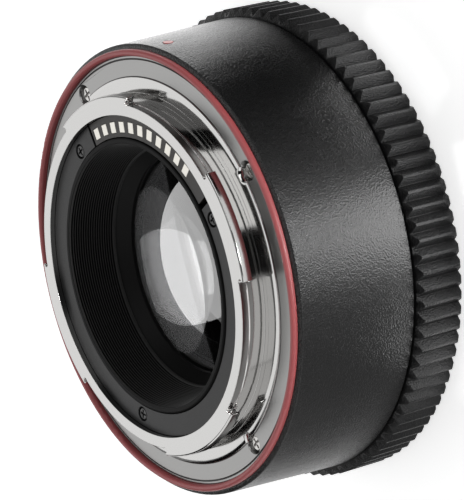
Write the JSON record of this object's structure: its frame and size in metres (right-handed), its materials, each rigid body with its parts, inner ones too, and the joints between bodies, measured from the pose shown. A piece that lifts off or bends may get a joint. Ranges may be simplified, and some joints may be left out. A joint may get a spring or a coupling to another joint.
{
  "type": "camera teleconverter",
  "caption": "Black teleconverter barrel with a plated camera-side bayonet, contact ring, red seal and convex rear lens, standing on a ribbed lens-side cap.",
  "frame": {"origin": "centre of the lens-side cap's flat outer face", "axes": "+Z along the optical axis towards the camera, +X towards the gap between the second flange screw and the lug beside it, on the side that the picture was taken from"},
  "size_m": [0.075, 0.075, 0.033],
  "materials": {
    "barrel_paint": "fine crinkle black paint",
    "cap_plastic": "matte moulded black",
    "seal_rubber": "satin red",
    "mount_plate": "satin plated brass",
    "screw_steel": "bright steel",
    "black_screw": "blackened steel",
    "holder_plastic": "dark grey satin",
    "pad_metal": "pale plated contact",
    "flex_film": "amber film",
    "baffle_paint": "flat black",
    "lens_glass": "coated",
    "cell_paint": "flat black",
    "board_green": "solder mask",
    "chip_black": "moulded package",
    "frame_metal": "dark anodised",
    "spring_steel": "spring steel",
    "pin_gold": "gilt",
    "slider_plastic": "matte black",
    "dot_red": "enamel"
  },
  "bodies": {
    "converter": {"barrel_shell": "barrel_paint", "index_dot": "dot_red", "seal_ring": "seal_rubber", "rear_mount": "mount_plate", "rear_mount_screws": "screw_steel", "contact_holder": "holder_plastic", "contact_strip": "holder_plastic", "contact_pads": "pad_metal", "contact_holder_screws": "black_screw", "contact_ribbon": "flex_film", "rear_baffle": "baffle_paint", "rear_retaining_ring": "baffle_paint", "rear_lens": "lens_glass", "rear_spacer": "cell_paint", "middle_lens": "lens_glass", "front_spacer": "cell_paint", "inner_lens": "lens_glass", "front_lens": "lens_glass", "front_retaining_ring": "cell_paint", "lens_cell": "cell_paint", "cell_screws": "black_screw", "circuit_board": "board_green", "board_chips": "chip_black", "board_screws": "screw_steel", "front_frame": "frame_metal", "front_mount": "mount_plate", "front_mount_screws": "screw_steel", "mount_spring_plate": "spring_steel", "contact_block": "holder_plastic", "contact_block_screws": "screw_steel", "contact_springs": "spring_steel", "lock_spring": "spring_steel"},
    "cap": {"front_cap": "cap_plastic"},
    "contacts": {"contact_pins": "pin_gold"},
    "lens_lock": {"release_slider": "slider_plastic", "lock_pin": "screw_steel"}
  },
  "joints": [
    {"name": "cap_twist", "type": "hinge", "parent": "converter", "child": "cap", "pos_m": [0, 0, 0.004], "axis": [0, 0, 1], "range_deg": [0, 45]},
    {"name": "lock_slide", "type": "slide", "parent": "converter", "child": "lens_lock", "axis": [0, 0, 1], "range_m": [0, 0.0018], "stiffness_N_per_m": 500, "springref_m": -0.001, "deforming": ["lock_spring"]},
    {"name": "contact_press", "type": "slide", "parent": "converter", "child": "contacts", "axis": [0, 0, 1], "range_m": [0, 0.0007], "stiffness_N_per_m": 600, "springref_m": -0.0005, "deforming": ["contact_springs"]}
  ]
}
